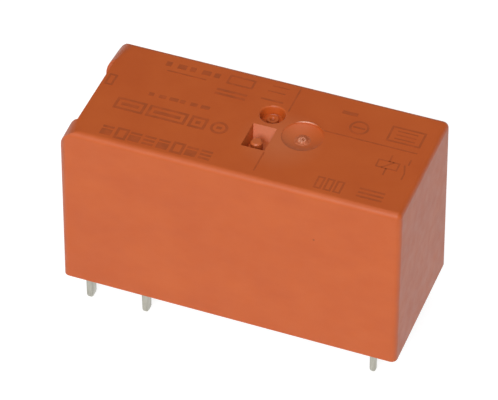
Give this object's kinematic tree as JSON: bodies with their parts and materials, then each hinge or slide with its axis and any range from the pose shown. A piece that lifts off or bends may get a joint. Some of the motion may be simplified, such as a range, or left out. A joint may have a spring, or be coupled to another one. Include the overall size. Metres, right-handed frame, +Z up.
{
  "type": "power relay",
  "caption": "Low-profile power relay for a circuit board: moulded cover on a base with solder pins, and a coil whose tilting armature closes a contact through a slide.",
  "frame": {"origin": "centre of the underside of the base, in the plane that sits on the circuit board", "axes": "+X from the contact end to the coil end, -Y is the front, +Z up and away from the board"},
  "size_m": [0.029, 0.0126, 0.02],
  "materials": {
    "orange_cover": "satin moulded",
    "black_base": "matt moulded",
    "amber_resin": "poured",
    "tinned_copper": "tinned",
    "silver_contact": "polished",
    "spring_copper": "rolled",
    "natural_bobbin": "moulded",
    "enamelled_wire": "enamelled",
    "soft_iron": "plated",
    "white_card": "moulded"
  },
  "bodies": {
    "housing": {"cover": "orange_cover", "base": "black_base", "sealing_compound": "amber_resin", "fixed_terminal": "tinned_copper", "common_terminal": "tinned_copper", "coil_terminal_front": "tinned_copper", "coil_terminal_rear": "tinned_copper", "fixed_contact": "silver_contact", "spring_rivet_front": "tinned_copper", "spring_rivet_rear": "tinned_copper", "insulation_barrier": "black_base", "bobbin": "natural_bobbin", "coil_winding": "enamelled_wire", "coil_lead_front": "enamelled_wire", "coil_lead_rear": "enamelled_wire", "core": "soft_iron", "yoke": "soft_iron", "armature_clip": "spring_copper"},
    "armature": {"armature": "soft_iron"},
    "slide": {"actuator_card": "white_card"},
    "leaf": {"contact_spring": "spring_copper", "moving_contact": "silver_contact"}
  },
  "joints": [
    {"name": "armature_tilt", "type": "hinge", "parent": "housing", "child": "armature", "pos_m": [0.0114, 0, 0.0018], "axis": [0, -1, 0], "range_deg": [0, 5.25], "stiffness_Nm_per_rad": 0.0002, "springref_deg": -28.65},
    {"name": "card_slide", "type": "slide", "parent": "housing", "child": "slide", "axis": [-1, 0, 0], "range_m": [0, 0.00104]},
    {"name": "spring_flex", "type": "hinge", "parent": "housing", "child": "leaf", "pos_m": [-0.00863, 0, 0.00415], "axis": [0, -1, 0], "range_deg": [0, 6.62], "stiffness_Nm_per_rad": 0.00002, "springref_deg": -28.65, "deforming": ["contact_spring"]}
  ],
  "couplings": [
    {"joint": "armature_tilt", "follows": "card_slide", "rad_per_m": 88.106},
    {"joint": "spring_flex", "follows": "card_slide", "rad_per_m": 111.11}
  ]
}
